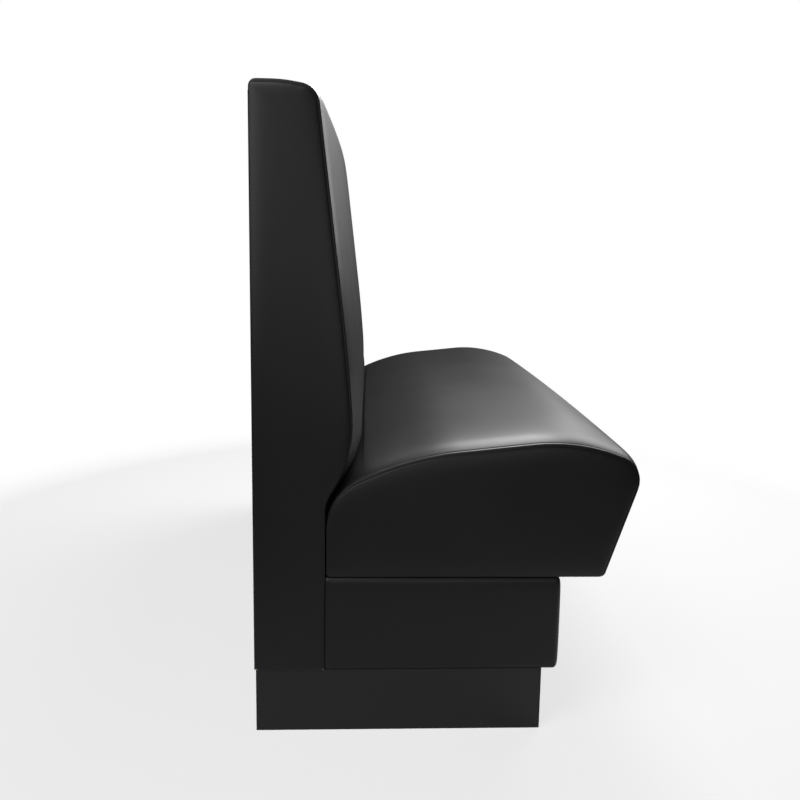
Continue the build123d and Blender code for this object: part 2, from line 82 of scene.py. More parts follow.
# %% [markdown]
# ## Camera
#
# The photograph looks along the booth at its near end, from a little above the seat. A camera has to
# stand where that picture was taken before any shape can be judged, so it comes first. Its place is
# measured from the rear face and the near end, and a small shift keeps its tilt low.

# %% Camera
image_width = 800
focal_pixels = 771
principal_column = 400.4
principal_row = 356.3
camera_height = 816.35 * mm
pitch = math.radians(8)
yaw = math.radians(-2.335)
tilt = math.radians(0.893)

camera_data = bpy.data.cameras.new("camera")
camera = bpy.data.objects.new("camera", camera_data)
scene.collection.objects.link(camera)
scene.camera = camera
camera_data.lens = camera_data.sensor_width * focal_pixels / image_width
camera_data.shift_x = (image_width / 2 - principal_column) / image_width
camera_data.shift_y = (principal_row - image_width / 2) / image_width
ahead = Vector((math.cos(pitch) * math.cos(yaw), math.cos(pitch) * math.sin(yaw), -math.sin(pitch)))
level = Vector((math.sin(yaw), -math.cos(yaw), 0))
right = level * math.cos(tilt) + level.cross(ahead) * math.sin(tilt)
up = right.cross(ahead)
turned = Matrix((right, up, -ahead)).transposed().to_4x4()
place = Vector((cad_low.x - 1212.8 * mm, cad_high.y - 188.35 * mm, camera_height))
camera.matrix_world = Matrix.Translation(place) @ turned
print("camera at", [round(v, 3) for v in place], "lens", round(camera_data.lens, 2))

# %% [markdown]
# ## The outline of each cushion
#
# An upholsterer cuts the back and the seat to a side profile: a few corners, each eased into a curve.
# The same profile is the line of the end seam, so it is worked out once here and used for the
# cushion, for its end panel and for the topstitching. Depths count forward from the rear face.

# %% Profiles, in millimetres
seam_x = 604.5
vinyl = 2
rear_panel = 1
plinth_top = 110
back_reach, back_rise = 162, 952
back_foot = rear_panel + back_reach * 0.728
seat_rear = back_foot + 1.5
seat_bottom = 274

back_profile = {
    "corners": ((0, 0), (0.728, 0), (0.728, 0.31), (1.004, 0.39), (0.9225, 0.57), (0.633, 0.991), (0.346, 1),
                (0, 1)),
    "origin": (rear_panel, plinth_top),
    "size": (back_reach, back_rise),
    "reaches": (0.07, 0.06, 0.16, 0.74, 0.46, 0.42, 0.42, 0.14),
    "strips": (0, 0, 2.1, 4.5, 4.5, 5.5, 6, 0),
    "rolls": [11 * share for share in (0, 0, 0.19, 0.455, 0.455, 1, 1, 0)],
    "crowns": [12 * share for share in (0, 0, 0.2, 1, 1, 0, 0, 0)],
}
seat_profile = {
    "corners": ((0, 0), (0.892, 0), (1.011, 0.836), (0.797, 1.026), (0.272, 0.892), (0, 0.611)),
    "origin": (seat_rear, seat_bottom),
    "size": (638 - seat_rear, 225.2),
    "reaches": (0.055, 0.025, 0.31, 0.639, 0.53, 0.42),
    "strips": (0, 5.4, 5, 4.8, 4.8, 0),
    "rolls": [13 * share for share in (0, 0.9, 0.92, 1, 1, 0)],
    "crowns": [6.8 * share for share in (0, 1, 1, 1, 0.9, 0)],
}

# %% [markdown]
# Each side of a profile can swell outwards by its own amount, and each corner stays round while it
# does. Every call gives the same number of points in the same order, so profiles that swell by
# different amounts can be joined point to point.

# %% Rounded outlines


def outline(profile, swells, step=9):
    """For each corner in turn, the points (depth, height) of its arc and of the side after it."""
    corners = [Vector([o + s * share for o, s, share in zip(profile["origin"], profile["size"], corner)])
               for corner in profile["corners"]]
    count = len(corners)
    sides = [corners[(i + 1) % count] - corners[i] for i in range(count)]
    ways = [side.normalized() for side in sides]
    arcs = []
    for i in range(count):
        before, after = ways[i - 1], ways[i]
        spread = before.x * after.y - before.y * after.x
        turn = math.atan2(spread, before.dot(after))
        radius = profile["reaches"][i] * min(sides[i - 1].length, sides[i].length) / math.tan(turn / 2)
        pieces = max(5, round(abs(radius * turn) / step))
        corner = corners[i] + (before * swells[i] - after * swells[i - 1]) / spread
        radius += (swells[i] + swells[i - 1]) / 2
        first = corner - before * radius * math.tan(turn / 2)
        middle = first + Vector((-before.y, before.x)) * radius
        spoke = first - middle
        arcs.append([middle + Matrix.Rotation(turn * k / pieces, 2) @ spoke for k in range(pieces + 1)])
    straights = []
    for i in range(count):
        start, stop = arcs[i][-1], arcs[(i + 1) % count][0]
        pieces = max(1, round(sides[i].length * (1 - profile["reaches"][i]) / step))
        straights.append([start.lerp(stop, k / pieces) for k in range(1, pieces)])
    return arcs, straights


def swells_at(profile, strip, roll, crown):
    """How far each side stands out, given the shares of the sewn strip, of the roll and of the crown."""
    return [low * strip + (full - low) * roll + most * crown
            for low, full, most in zip(profile["strips"], profile["rolls"], profile["crowns"])]


def run(profile, first, last, swells, step=9):
    """The outline from the arc of one corner to the arc of another, both included."""
    arcs, straights = outline(profile, swells, step)
    count = len(arcs)
    points = list(arcs[first])
    at = first
    while at != last:
        points += straights[at]
        at = (at + 1) % count
        points += arcs[at]
    return points


def in_row(x, point):
    """A profile's point in the row frame, in metres."""
    return Vector((x * mm, cad_high.y - point[0] * mm, point[1] * mm))


print("back outline", len(run(back_profile, 0, 7, [0] * 8)), "points, seat outline",
      len(run(seat_profile, 0, 5, [0] * 6)))

# %% [markdown]
# ## Stretched covers
#
# Vinyl pulled over foam lies low at a seam and crowns in the middle of the booth. Beside the seam the
# topstitching holds the folded seam allowance down as a low flat strip, and its thread pulls a narrow
# dip into it. Past the thread the foam rolls up to its full height. The cover is made as a row of
# profiles from one end seam to the other, close together near the seams, and joined into one closed
# skin, so that its squares follow the stretch.

# %% Rise beside the seams
rise_beside_seam = (
    (0, 0, 0), (0.3, 0.5, 0), (0.7, 0.72, 0), (1.3, 0.83, 0), (2.2, 0.89, 0), (3.4, 0.95, 0), (4.7, 1, 0),
    (5.4, 0.93, 0), (6, 0.74, 0), (6.6, 0.9, 0.01), (7.4, 1, 0.04), (9, 1, 0.11), (12, 1, 0.24),
    (16, 1, 0.4), (21, 1, 0.56), (28, 1, 0.73), (36, 1, 0.85), (47, 1, 0.93), (62, 1, 0.98), (80, 1, 1),
)
middle_step = 15


def stations():
    """Places along the booth, with the shares of strip, roll and crown that the cushion has there."""
    rise = [(seam_x - off, strip, roll) for off, strip, roll in rise_beside_seam]
    inner = rise[-1][0]
    count = math.ceil(2 * inner / middle_step)
    middle = [(inner * (1 - 2 * k / count), 1, 1) for k in range(1, count)]
    far = [(-x, strip, roll) for x, strip, roll in reversed(rise)]
    return [(x, strip, roll, 1 - (x / seam_x) ** 2) for x, strip, roll in rise + middle + far]


print(len(stations()), "profiles from end to end")

# %% [markdown]
# A skin joins the rings with four-sided faces and closes both ends. Its shown columns stay soft for
# the subdivision that comes later. The hidden ones, which lie against the frame, and the two seams
# get a full crease, so that they keep their place.

# %% A closed skin from rings


def skin(name, rings, shown):
    """One closed mesh from rings of equal count, whose first columns are the ones that show."""
    shape = bmesh.new()
    crease = shape.edges.layers.float.new("crease_edge")
    rows = [[shape.verts.new(point) for point in ring] for ring in rings]
    size = len(rings[0])
    for near, far in zip(rows, rows[1:]):
        for k in range(size):
            shape.faces.new((near[k], near[(k + 1) % size], far[(k + 1) % size], far[k]))
    shape.faces.new(rows[0])
    shape.faces.new(list(reversed(rows[-1])))
    shape.verts.index_update()
    last = (len(rows) - 1) * size
    for edge in shape.edges:
        places = [vert.index for vert in edge.verts]
        if all(place < size for place in places) or all(place >= last for place in places):
            edge[crease] = 1
        if all(not 0 < place % size < shown - 1 for place in places):
            edge[crease] = 1
    bmesh.ops.recalc_face_normals(shape, faces=shape.faces)
    mesh = bpy.data.meshes.new(name)
    shape.to_mesh(mesh)
    shape.free()
    piece = bpy.data.objects.new(name, mesh)
    scene.collection.objects.link(piece)
    return piece


# %% [markdown]
# Operators act on whatever is selected, so a few helpers select one piece first, apply its modifiers,
# and say where a finished piece belongs.

# %% Small helpers for operators


def only(piece):
    """Selects one piece and nothing else, because operators act on all that is selected."""
    bpy.ops.object.select_all(action="DESELECT")
    piece.select_set(True)
    bpy.context.view_layer.objects.active = piece


def apply_all(piece):
    """Turns the piece's modifiers into plain geometry."""
    only(piece)
    for modifier in list(piece.modifiers):
        bpy.ops.object.modifier_apply(modifier=modifier.name)


def soften(piece):
    """One subdivision, applied, and smooth shading."""
    subdivision = piece.modifiers.new("soft", "SUBSURF")
    subdivision.levels = subdivision.render_levels = 1
    apply_all(piece)
    bpy.ops.object.shade_smooth()


def fit_out(piece, slot, *nodes):
    """Hangs a finished piece on the booth, sets its finish slot and hides the solids it stands for."""
    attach(piece, "booth")
    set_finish(piece, slot)
    if nodes:
        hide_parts(*nodes)
    low = [min(v.co[i] for v in piece.data.vertices) / mm for i in range(3)]
    high = [max(v.co[i] for v in piece.data.vertices) / mm for i in range(3)]
    print(piece.name, len(piece.data.polygons), "faces,", [round(v, 1) for v in low + high])


# %% [markdown]
# ## Swelling by simulation
#
# Foam pushes its cover out evenly, and the cover pulls back between its seams. Blender's cloth does
# both when it is given pressure and held at the seams. Gravity is off and the frames are few. Of each
# point's movement only the part along the surface's normal is kept, up to a cap outwards and hardly any
# inwards. It is then evened out over its neighbours, so that no ripples are left.

# %% Cloth with pressure
frames = 20
swell_cap = 2.5
slack = 0.3
evening_rounds = 12


def swell(piece, held, size):
    """Blows a closed skin up a little, with the held vertices fixed, the rest capped and evened out."""
    start = np.array([vert.co for vert in piece.data.vertices])
    pins = piece.vertex_groups.new(name="seams")
    pins.add(held, 1, "REPLACE")
    cloth = piece.modifiers.new("stretched vinyl", "CLOTH")
    cloth.settings.quality = 4
    cloth.settings.mass = 0.4
    cloth.settings.use_pressure = True
    cloth.settings.uniform_pressure_force = 4
    cloth.settings.effector_weights.gravity = 0
    cloth.settings.vertex_group_mass = pins.name
    cloth.settings.tension_stiffness = cloth.settings.compression_stiffness = 20
    cloth.collision_settings.use_collision = False
    cloth.point_cache.frame_end = frames
    for number in range(1, frames + 1):
        scene.frame_set(number)
    blown = piece.evaluated_get(bpy.context.evaluated_depsgraph_get()).data
    moved = np.array([vert.co for vert in blown.vertices]) - start
    piece.modifiers.remove(cloth)
    piece.vertex_groups.remove(pins)
    scene.frame_set(1)
    outwards = np.array([vert.normal for vert in piece.data.vertices])
    swollen = (moved * outwards).sum(axis=1)
    kept = np.clip(swollen, -slack * mm, swell_cap * mm).reshape(-1, size)
    for _ in range(evening_rounds):
        kept[1:-1] = (kept[:-2] + 2 * kept[1:-1] + kept[2:]) / 4
        kept[:, 1:-1] = (kept[:, :-2] + 2 * kept[:, 1:-1] + kept[:, 2:]) / 4
    kept = kept.ravel()
    kept[held] = 0
    piece.data.vertices.foreach_set("co", (start + outwards * kept[:, None]).ravel())
    piece.data.update()
    spread = np.percentile(swollen, (0, 10, 50, 90, 100)) / mm
    print(piece.name, "moved by", [round(float(v), 1) for v in spread])


# %% [markdown]
# ## Seat
#
# The seat is a sprung cushion whose front rolls over the edge. Its profile swells at the top and the
# front, where people sit, and stays flat at the rear and underneath, where it rests. The wooden frame
# fills its lower half, so the skin turns in under the rails and runs back above the springs.

# %% Seat upholstery
held_columns = 2
held_at_seam = 20
frame_front = 569.2
frame_floor = seat_bottom + vinyl
foam_floor = 356.2
hem = 15
tuck = 0.2

seat_inside = [
    (seat_rear + hem, seat_bottom),
    (seat_rear + hem, frame_floor - tuck),
    (seat_rear + vinyl, frame_floor - tuck),
    (seat_rear + vinyl, (frame_floor + foam_floor) / 2),
    (seat_rear + vinyl, foam_floor),
    *[(seat_rear + vinyl + share * (frame_front - seat_rear - vinyl), foam_floor)
      for share in (0.25, 0.5, 0.75)],
    (frame_front + tuck, foam_floor),
    (frame_front + tuck, (frame_floor + foam_floor) / 2),
    (frame_front + tuck, frame_floor - tuck),
    (frame_front - hem, frame_floor - tuck),
    (frame_front - hem, seat_bottom),
]


def cushion_rings(profile, first, last, inside, trim):
    """Rings of a cushion: its shown outline first, then the points against the frame."""
    rings = []
    for x, strip, roll, crown in stations():
        swells = swells_at(profile, strip, roll, crown - trim * crown)
        shown = run(profile, first, last, swells)
        rings.append([in_row(x, point) for point in shown + inside])
    return rings, len(shown)


def side_view(piece, size):
    """The skin's vertices as an array of rings of (depth, height) points, in millimetres."""
    places = np.array([vert.co for vert in piece.data.vertices]).reshape(-1, size, 3)
    return np.stack([(cad_high.y - places[..., 1]) / mm, places[..., 2] / mm], axis=-1)


def pinned(piece, size, shown):
    """Vertices that the frame or a seam holds."""
    free_from = (seam_x - held_at_seam) * mm
    held = []
    for vert in piece.data.vertices:
        column = vert.index % size
        if not held_columns <= column < shown - held_columns or abs(vert.co.x) > free_from:
            held.append(vert.index)
    return held


seat_rings, seat_shown = cushion_rings(seat_profile, 1, 0, seat_inside, 0.12)
seat_size = len(seat_rings[0])
seat_upholstery = skin("seat_upholstery", seat_rings, seat_shown)
swell(seat_upholstery, pinned(seat_upholstery, seat_size, seat_shown), seat_size)
seat_view = side_view(seat_upholstery, seat_size)[:, :seat_shown]
soften(seat_upholstery)
fit_out(seat_upholstery, "black_vinyl", "seat_cover", "seat_foam")

# %% [markdown]
# ## Back
#
# The back's cushion hangs from the top of the frame, bulges at the lumbar height and rolls under into
# the crevice behind the seat. Its cover goes over the top and down behind, where the rear panel hides
# its hem. The same rings and the same simulation make it, with the face board's slope as its inside.

# %% Back upholstery
lumbar_share = 0.31
head_share = 0.633
face_lap = 20
gusset_drop = 16
head_foam = 34
hem_drop = 40
hem_bend = 10
face_board = 6
crevice = 392.7

face_foot = plinth_top + lumbar_share * back_rise + face_lap
gusset_top = plinth_top + back_rise - gusset_drop
face_head = rear_panel + head_share * back_reach - head_foam
hem_end = gusset_top - hem_drop
board_foot = back_foot - vinyl + face_board

back_inside = [
    (rear_panel, (gusset_top + hem_end) / 2 + hem_bend),
    (rear_panel, hem_end),
    (rear_panel + vinyl, hem_end),
    (rear_panel + vinyl, gusset_top + tuck),
    *[(board_foot + share * (face_head - board_foot), face_foot + share * (gusset_top + tuck - face_foot))
      for share in (1, 0.75, 0.5, 0.25)],
    (board_foot, face_foot - tuck),
    (back_foot - vinyl, face_foot - tuck),
    (back_foot - vinyl, crevice),
]
back_rings, back_shown = cushion_rings(back_profile, 2, 7, back_inside, 0.2)
back_size = len(back_rings[0])
back_upholstery = skin("back_upholstery", back_rings, back_shown)
swell(back_upholstery, pinned(back_upholstery, back_size, back_shown), back_size)

# %% [markdown]
# Away from its seams the lumbar roll is heavy and rests on the seat. Its underside is filled out to one
# depth, more and more over the first hand's breadths from each seam, and never past the seat's cover.

# %% Lumbar roll on the seat
roll_depth = 175
roll_head = 540
roll_fade = 50
settle_length = 230
settle_power = 1.5
contact_gap = 0.6


def settle(piece, size, shown):
    """Moves the underside of the lumbar roll forwards until it meets the seat."""
    view = side_view(piece, size)
    for (x, _, _, _), ring, seat_ring in zip(stations(), view, seat_view):
        grown = 1 - max(0, 1 - (seam_x - abs(x)) / settle_length) ** settle_power
        rear_side = seat_ring[seat_ring[:, 1].argmax():][::-1]
        depth, height = ring[:shown].T
        low = (height < roll_head) & (depth > back_foot - 1)
        share = grown * np.clip((roll_head - height) / roll_fade, 0, 1) * low
        full = depth + share * np.maximum(0, roll_depth - depth)
        room = np.interp(height, rear_side[:, 1], rear_side[:, 0]) - contact_gap
        ring[:shown, 0] = np.where(low, np.minimum(full, np.maximum(room, back_foot)), depth)
    places = np.array([vert.co for vert in piece.data.vertices])
    places[:, 1] = cad_high.y - view[..., 0].ravel() * mm
    piece.data.vertices.foreach_set("co", places.ravel())
    piece.data.update()


settle(back_upholstery, back_size, back_shown)
soften(back_upholstery)
fit_out(back_upholstery, "black_vinyl", "back_cover", "back_foam")

# %% [markdown]
# ## End panels
#
# A flat board with a thin layer of wadding closes each end of the back and of the seat. Its vinyl is
# sewn to the cushion's cover, so the panel rises from the seam in a soft rim and is flat inside it.
# Rings just inside the seam keep the rim even all round, a grid fills the rest, and the height of
# each point follows from how far it is from the seam.

# %% End panels
rim_height = ((0, 0), (0.4, 0.9), (0.9, 1.4), (1.9, 1.85), (3.5, 2.3), (6, 2.85), (10, 3.5), (15, 4.1),
              (22, 4.6), (32, 4.9), (45, 5))
rim_rings = (0, 0.4, 0.9, 1.9)
rim_step = 5
grid_step = 5
grid_margin = 4.2


def distance_to_loop(points, loop):
    """Distance of each point to a closed line."""
    ends = np.roll(loop, -1, axis=0)
    way = ends - loop
    best = np.full(len(points), 1e9)
    for start, step in zip(loop, way):
        share = np.clip((points - start) @ step / (step @ step), 0, 1)
        best = np.minimum(best, np.linalg.norm(points - start - share[:, None] * step, axis=1))
    return best


def inside_loop(points, loop):
    """Which points lie inside a closed line, by counting crossings."""
    ends = np.roll(loop, -1, axis=0)
    inside = np.zeros(len(points), bool)
    for (ax, ay), (bx, by) in zip(loop, ends):
        crosses = (ay > points[:, 1]) != (by > points[:, 1])
        if ay != by:
            at = ax + (points[:, 1] - ay) * (bx - ax) / (by - ay)
            inside ^= crosses & (points[:, 0] < at)
    return inside


def end_panel(name, profile, side):
    """A padded panel that fills one end seam, on the side where x is positive or negative."""
    count = len(profile["corners"])
    loops = []
    for depth in rim_rings:
        inset = [-depth] * count
        closing = outline(profile, inset, rim_step)[1][count - 1]
        loops.append(np.array(run(profile, 0, count - 1, inset, rim_step) + closing))
    outer = loops[0]
    low, high = outer.min(axis=0), outer.max(axis=0)
    grid = np.array([(u, v) for u in np.arange(low[0], high[0], grid_step)
                     for v in np.arange(low[1], high[1], grid_step)])
    grid = grid[inside_loop(grid, outer)]
    grid = grid[distance_to_loop(grid, outer) > grid_margin]
    points = np.vstack(loops + [grid])
    edges = []
    start = 0
    for loop in loops:
        edges += [(start + k, start + (k + 1) % len(loop)) for k in range(len(loop))]
        start += len(loop)
    verts, _, faces, _, _, _ = delaunay_2d_cdt([Vector(p) for p in points], edges, [], 1, 1e-4)
    flat = np.array(verts)
    away = distance_to_loop(flat, outer)
    rise = np.interp(away, *zip(*rim_height))
    shape = bmesh.new()
    front = [shape.verts.new(in_row(side * (seam_x + up), point)) for up, point in zip(rise, flat)]
    for face in faces:
        shape.faces.new([front[k] for k in face])
    bmesh.ops.recalc_face_normals(shape, faces=shape.faces)
    if sum(face.normal.x * face.calc_area() for face in shape.faces) * side < 0:
        bmesh.ops.reverse_faces(shape, faces=shape.faces)
    rim = [edge for edge in shape.edges if edge.is_boundary]
    bmesh.ops.contextual_create(shape, geom=rim)
    bmesh.ops.recalc_face_normals(shape, faces=shape.faces)
    mesh = bpy.data.meshes.new(name)
    shape.to_mesh(mesh)
    shape.free()
    piece = bpy.data.objects.new(name, mesh)
    scene.collection.objects.link(piece)
    only(piece)
    bpy.ops.object.shade_smooth_by_angle(angle=math.radians(60))
    return piece


for cushion, profile in (("back", back_profile), ("seat", seat_profile)):
    for end, side in (("left", 1), ("right", -1)):
        panel = end_panel(f"{cushion}_end_panel_{end}", profile, side)
        fit_out(panel, "black_vinyl", f"{cushion}_end_cover_{end}", f"{cushion}_end_pad_{end}")

# %% [markdown]
# ## Box
#
# The box under the seat is thinly padded on three sides, and its vinyl is folded over the boards at
# the top and the bottom. Its section, a thin letter C, is the same all the way, so the section is
# carried along the outside from the rear of one end, round both front corners, to the other rear.

# %% Box upholstery
box_x = 609.5
box_depth = 515
corner = 10
board_x, board_depth = seam_x, box_depth - vinyl - 6
hem_x, hem_depth = seam_x - 18, board_depth - 18
box_section = ((0, 192), (0, 225), (0.2, 245), (0.5, 258), (1.1, 265), (2.2, 269.6), (4.2, 272.7),
               (8, 273.8))
rear_turn = ((2.6, 0), (0.9, 1.4), (0.2, 4), (0, 9))
end_steps, corner_steps, front_steps = 34, 8, 80


def box_path():
    """Outside points (x, depth) of the box seen from above, with the way out at each."""
    path = [(box_x - drawn, back_foot + along, 1, 0) for drawn, along in rear_turn]
    turned = rear_turn[-1][1]
    path += [(box_x, back_foot + turned + (box_depth - corner - back_foot - turned) * k / end_steps, 1, 0)
             for k in range(1, end_steps)]
    half = box_x - corner
    for k in range(corner_steps + 1):
        u, v = math.cos(math.pi / 2 * k / corner_steps), math.sin(math.pi / 2 * k / corner_steps)
        path.append((half + corner * u, box_depth - corner + corner * v, u, v))
    across = [(half * (1 - 2 * k / front_steps), box_depth, 0, 1) for k in range(1, front_steps)]
    return path + across + [(-x, depth, -u, v) for x, depth, u, v in reversed(path)]


def box_ring(x, depth, u, v):
    """The letter C at one place: outside from the bottom up, then back down along the boards."""
    upper = [(x - u * inward, depth - v * inward, z) for inward, z in box_section]
    lower = [(a, b, 2 * box_section[0][1] - z) for a, b, z in reversed(upper[1:])]
    shown = lower + upper
    board = (max(-board_x, min(board_x, x)), min(board_depth, depth))
    edge = (max(-hem_x, min(hem_x, x)), min(hem_depth, depth))
    inside = [(*edge, seat_bottom), (*edge, seat_bottom - vinyl), (*board, seat_bottom - vinyl),
              (*board, plinth_top + vinyl), (*edge, plinth_top + vinyl), (*edge, plinth_top)]
    return [in_row(a, (b, z)) for a, b, z in shown + inside], len(shown)


box_rings = [box_ring(*place) for place in box_path()]
box_upholstery = skin("box_upholstery", [ring for ring, _ in box_rings], box_rings[0][1])
only(box_upholstery)
bpy.ops.object.mode_set(mode="EDIT")
bpy.ops.mesh.select_all(action="SELECT")
bpy.ops.mesh.remove_doubles(threshold=0.01 * mm)
bpy.ops.mesh.normals_make_consistent(inside=False)
bpy.ops.object.mode_set(mode="OBJECT")
soften(box_upholstery)
fit_out(box_upholstery, "black_vinyl", "box_cover", "box_padding")

# %% [markdown]
# ## Edging at the rear
#
# The rear panel stops short of the end covers and of the plinth. A folded strip of vinyl closes each gap,
# where the raw edges of the plywood would show.

# %% Edging at the rear
panel_margin = 10
edging_gap = 0.3
edging_width = panel_margin - 2 * edging_gap
edging_depth = 2.4
edging_top = 1050
edging_round = 0.7


def edging(name, x, z, width, height):
    """A flat folded strip with soft edges, centred at x and z just inside the rear face."""
    bpy.ops.object.select_all(action="DESELECT")
    y = cad_high.y - (edging_gap + edging_depth / 2) * mm
    bpy.ops.mesh.primitive_cube_add(size=mm, location=(x * mm, y, z * mm))
    piece = bpy.context.object
    piece.name = piece.data.name = name
    piece.scale = (width, edging_depth, height)
    bpy.ops.object.transform_apply(location=True, rotation=False, scale=True)
    bpy.ops.object.mode_set(mode="EDIT")
    bpy.ops.mesh.select_all(action="SELECT")
    bpy.ops.mesh.bevel(offset=edging_round * mm, segments=3, affect="EDGES")
    bpy.ops.object.mode_set(mode="OBJECT")
    bpy.ops.object.shade_smooth_by_angle(angle=math.radians(40))
    fit_out(piece, "black_vinyl")


edging_x = seam_x - edging_gap - edging_width / 2
edging_middle = (plinth_top + edging_gap + edging_top) / 2
for side, word in ((1, "left"), (-1, "right")):
    edging(f"rear_edging_{word}", side * edging_x, edging_middle, edging_width,
           edging_top - plinth_top - edging_gap)
edging("rear_edging_foot", 0, plinth_top + edging_gap + edging_width / 2,
       2 * (edging_x - edging_width / 2 - edging_gap), edging_width)

# %% [markdown]
# ## Topstitching
#
# A second row of thread, a few millimetres beside each end seam, holds the seam's allowance flat. One
# stitch is a short round-ended thread. It is modelled once and copied along the dip in the cover, a
# little shorter than the pitch, so that the ends seem to go down into the vinyl.

# %% One stitch
stitch_pitch = 6
stitch_length = 4.6
thread = 0.95
stitch_off = 6
stitch_end = 0.45
stitch_lift = 0.1

bpy.ops.object.select_all(action="DESELECT")
bpy.ops.mesh.primitive_cylinder_add(vertices=6, radius=thread / 2 * mm, depth=(stitch_length - thread) * mm)
stitch = bpy.context.active_object
stitch.name = "stitch"
bpy.ops.object.mode_set(mode="EDIT")
bpy.ops.mesh.select_mode(type="FACE")
for upward in (1, -1):
    bpy.ops.mesh.select_all(action="DESELECT")
    shape = bmesh.from_edit_mesh(stitch.data)
    shape.faces.ensure_lookup_table()
    for face in shape.faces:
        face.select_set(face.normal.z * upward > 0.9)
    bmesh.update_edit_mesh(stitch.data)
    lift = upward * thread / 2 * mm
    bpy.ops.mesh.extrude_region_move(TRANSFORM_OT_translate={"value": (0, 0, lift)})
    bpy.ops.transform.resize(value=(stitch_end, stitch_end, 1))
bpy.ops.object.mode_set(mode="OBJECT")
stitch_verts = np.array([vert.co for vert in stitch.data.vertices])
stitch_faces = [tuple(face.vertices) for face in stitch.data.polygons]
print("one stitch has", len(stitch_faces), "faces")

# %% [markdown]
# The copies follow the cushion's own outline at the bottom of the dip. Each lies along the outline, with
# a little more than half of its thickness above the vinyl.

# %% Rows of stitches


def stitch_row(profile, first, last):
    """Places and directions of the stitches on one end seam, as (point, along, outwards)."""
    offs, strips, _ = zip(*rise_beside_seam)
    dip = swells_at(profile, np.interp(stitch_off, offs, strips), 0, 0)
    line = run(profile, first, last, dip, 2)
    line = np.array([line[0]] + [b for a, b in zip(line, line[1:]) if (b - a).length > 1e-6])
    lengths = np.concatenate([[0], np.cumsum(np.linalg.norm(np.diff(line, axis=0), axis=1))])
    row = []
    for at in np.arange(stitch_pitch / 2, lengths[-1], stitch_pitch):
        here = np.array([np.interp(at, lengths, line[:, axis]) for axis in (0, 1)])
        ahead_of = np.array([np.interp(at + 1, lengths, line[:, axis]) for axis in (0, 1)])
        along = (ahead_of - here) / np.linalg.norm(ahead_of - here)
        row.append((here, along, np.array([along[1], -along[0]])))
    return row


def topstitching(name, profile, first, last):
    """Both end seams' rows of stitches on one cushion, as one piece."""
    copies = []
    for side in (1, -1):
        for here, along, out in stitch_row(profile, first, last):
            point = here + out * thread * stitch_lift
            centre = in_row(side * (seam_x - stitch_off), point)
            length_way = Vector((0, -along[0], along[1]))
            out_way = Vector((0, -out[0], out[1]))
            turn = Matrix((length_way.cross(out_way), out_way, length_way)).transposed()
            copies.append(stitch_verts @ np.array(turn).T + np.array(centre))
    size = len(stitch_verts)
    mesh = bpy.data.meshes.new(name)
    faces = [[at * size + k for k in face] for at in range(len(copies)) for face in stitch_faces]
    mesh.from_pydata(np.vstack(copies).tolist(), [], faces)
    piece = bpy.data.objects.new(name, mesh)
    scene.collection.objects.link(piece)
    only(piece)
    bpy.ops.object.mode_set(mode="EDIT")
    bpy.ops.mesh.select_all(action="SELECT")
    bpy.ops.mesh.normals_make_consistent(inside=False)
    bpy.ops.object.mode_set(mode="OBJECT")
    bpy.ops.object.shade_smooth()
    print(name, len(copies), "stitches")
    return piece


seat_topstitching = topstitching("seat_topstitching", seat_profile, 1, 5)
fit_out(seat_topstitching, "black_vinyl")
back_topstitching = topstitching("back_topstitching", back_profile, 2, 7)
fit_out(back_topstitching, "black_vinyl")
bpy.data.objects.remove(stitch)

# %% [markdown]
# ## Finishes
#
# Shader maths reads best as plain expressions. A small class wraps a socket, so that adding or
# multiplying two values adds the Math node for it, and one method adds any other node.

# %% Shader expressions


class Value:
    """A number that varies over the surface."""

    def __init__(self, finish, socket):
        self.finish = finish
        self.socket = socket

    def maths(self, operation, other):
        return self.finish.node("ShaderNodeMath", {"operation": operation}, {0: self, 1: other})

    def __add__(self, other):
        return self.maths("ADD", other)

    def __mul__(self, other):
        return self.maths("MULTIPLY", other)


class Finish:
    """One material, started with the Principled shader's plain values."""

    def __init__(self, name, colour, roughness, metallic=0, specular=0.5):
        self.material = bpy.data.materials.new(name)
        self.material.use_nodes = True
        self.tree = self.material.node_tree
        self.shader = self.tree.nodes["Principled BSDF"]
        self.shader.inputs["Base Color"].default_value = (*colour, 1)
        self.shader.inputs["Roughness"].default_value = roughness
        self.shader.inputs["Metallic"].default_value = metallic
        self.shader.inputs["Specular IOR Level"].default_value = specular
        self.material.diffuse_color = (*colour, 1)

    def node(self, kind, settings=None, inputs=None, output=0):
        made = self.tree.nodes.new(kind)
        for setting, value in (settings or {}).items():
            setattr(made, setting, value)
        for name, value in (inputs or {}).items():
            if isinstance(value, Value):
                self.tree.links.new(value.socket, made.inputs[name])
            else:
                made.inputs[name].default_value = value
        return Value(self, made.outputs[output])

    def place(self, scale=(1, 1, 1)):
        spot = self.node("ShaderNodeTexCoord", output="Object")
        return self.node("ShaderNodeMapping", None, {"Vector": spot, "Scale": scale})

    def noise(self, scale, detail=2, stretch=(1, 1, 1)):
        return self.node("ShaderNodeTexNoise", None,
                         {"Vector": self.place(stretch), "Scale": scale, "Detail": detail})

    def feed(self, name, value):
        self.tree.links.new(value.socket, self.shader.inputs[name])

    def blend(self, share, first, second):
        """Base colour from one colour to another."""
        mix = self.node("ShaderNodeMix", {"data_type": "RGBA"},
                        {"Factor": share, "A": (*first, 1), "B": (*second, 1)}, output=2)
        self.feed("Base Color", mix)

    def bump(self, height, strength, distance):
        self.feed("Normal", self.node("ShaderNodeBump", None,
                                      {"Height": height, "Strength": strength, "Distance": distance}))


# %% [markdown]
# ### Vinyl
#
# Upholstery vinyl is a black plastic skin with a fine pressed grain. It has a soft sheen, broader
# where it has been rubbed. Small cells give the grain, and slow noise moves the roughness a little, so
# that the sheen isn't the same everywhere.

